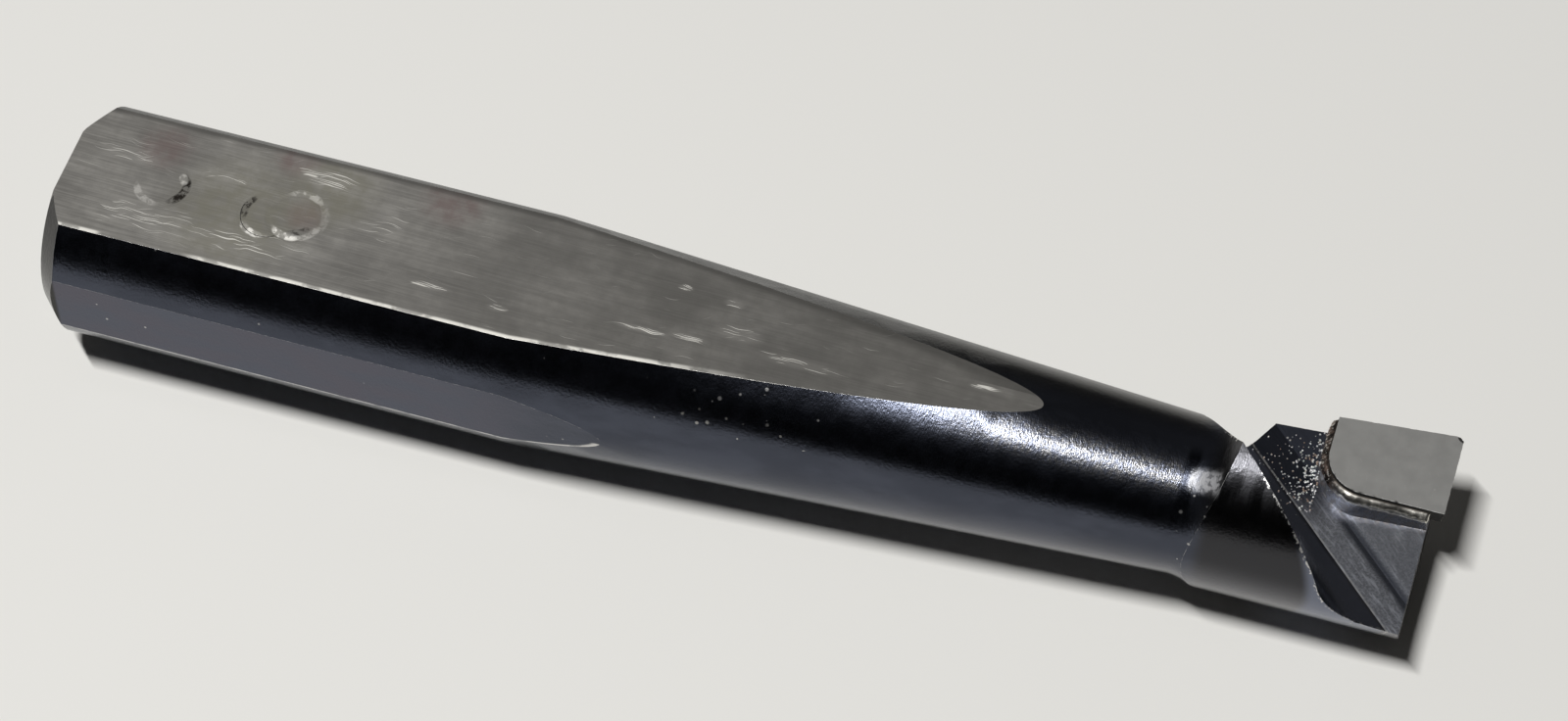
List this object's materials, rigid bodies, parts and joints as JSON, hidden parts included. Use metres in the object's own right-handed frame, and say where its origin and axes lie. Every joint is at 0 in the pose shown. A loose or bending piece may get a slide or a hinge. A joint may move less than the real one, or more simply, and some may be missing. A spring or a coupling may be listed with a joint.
{
  "type": "boring bar",
  "caption": "Tapered steel boring bar with a flatted round shank, a slim neck and an off-centre head that carries a brazed carbide cutting tip.",
  "frame": {"origin": "middle of the shank's rear face, on the axis", "axes": "+X along the axis towards the head; +Z out of the wide screw flat; +Y towards the side on which the cutting tip stands"},
  "size_m": [0.1524, 0.0279, 0.0242],
  "materials": {
    "bar_steel": "black oxide on the turned surfaces, bare ground flats, worn",
    "carbide": "ground matt grey",
    "braze": "bright silver braze, tarnished at its foot"
  },
  "bodies": {
    "root": {"bar": "bar_steel", "carbide_tip": "carbide", "braze_joint": "braze"}
  },
  "joints": []
}
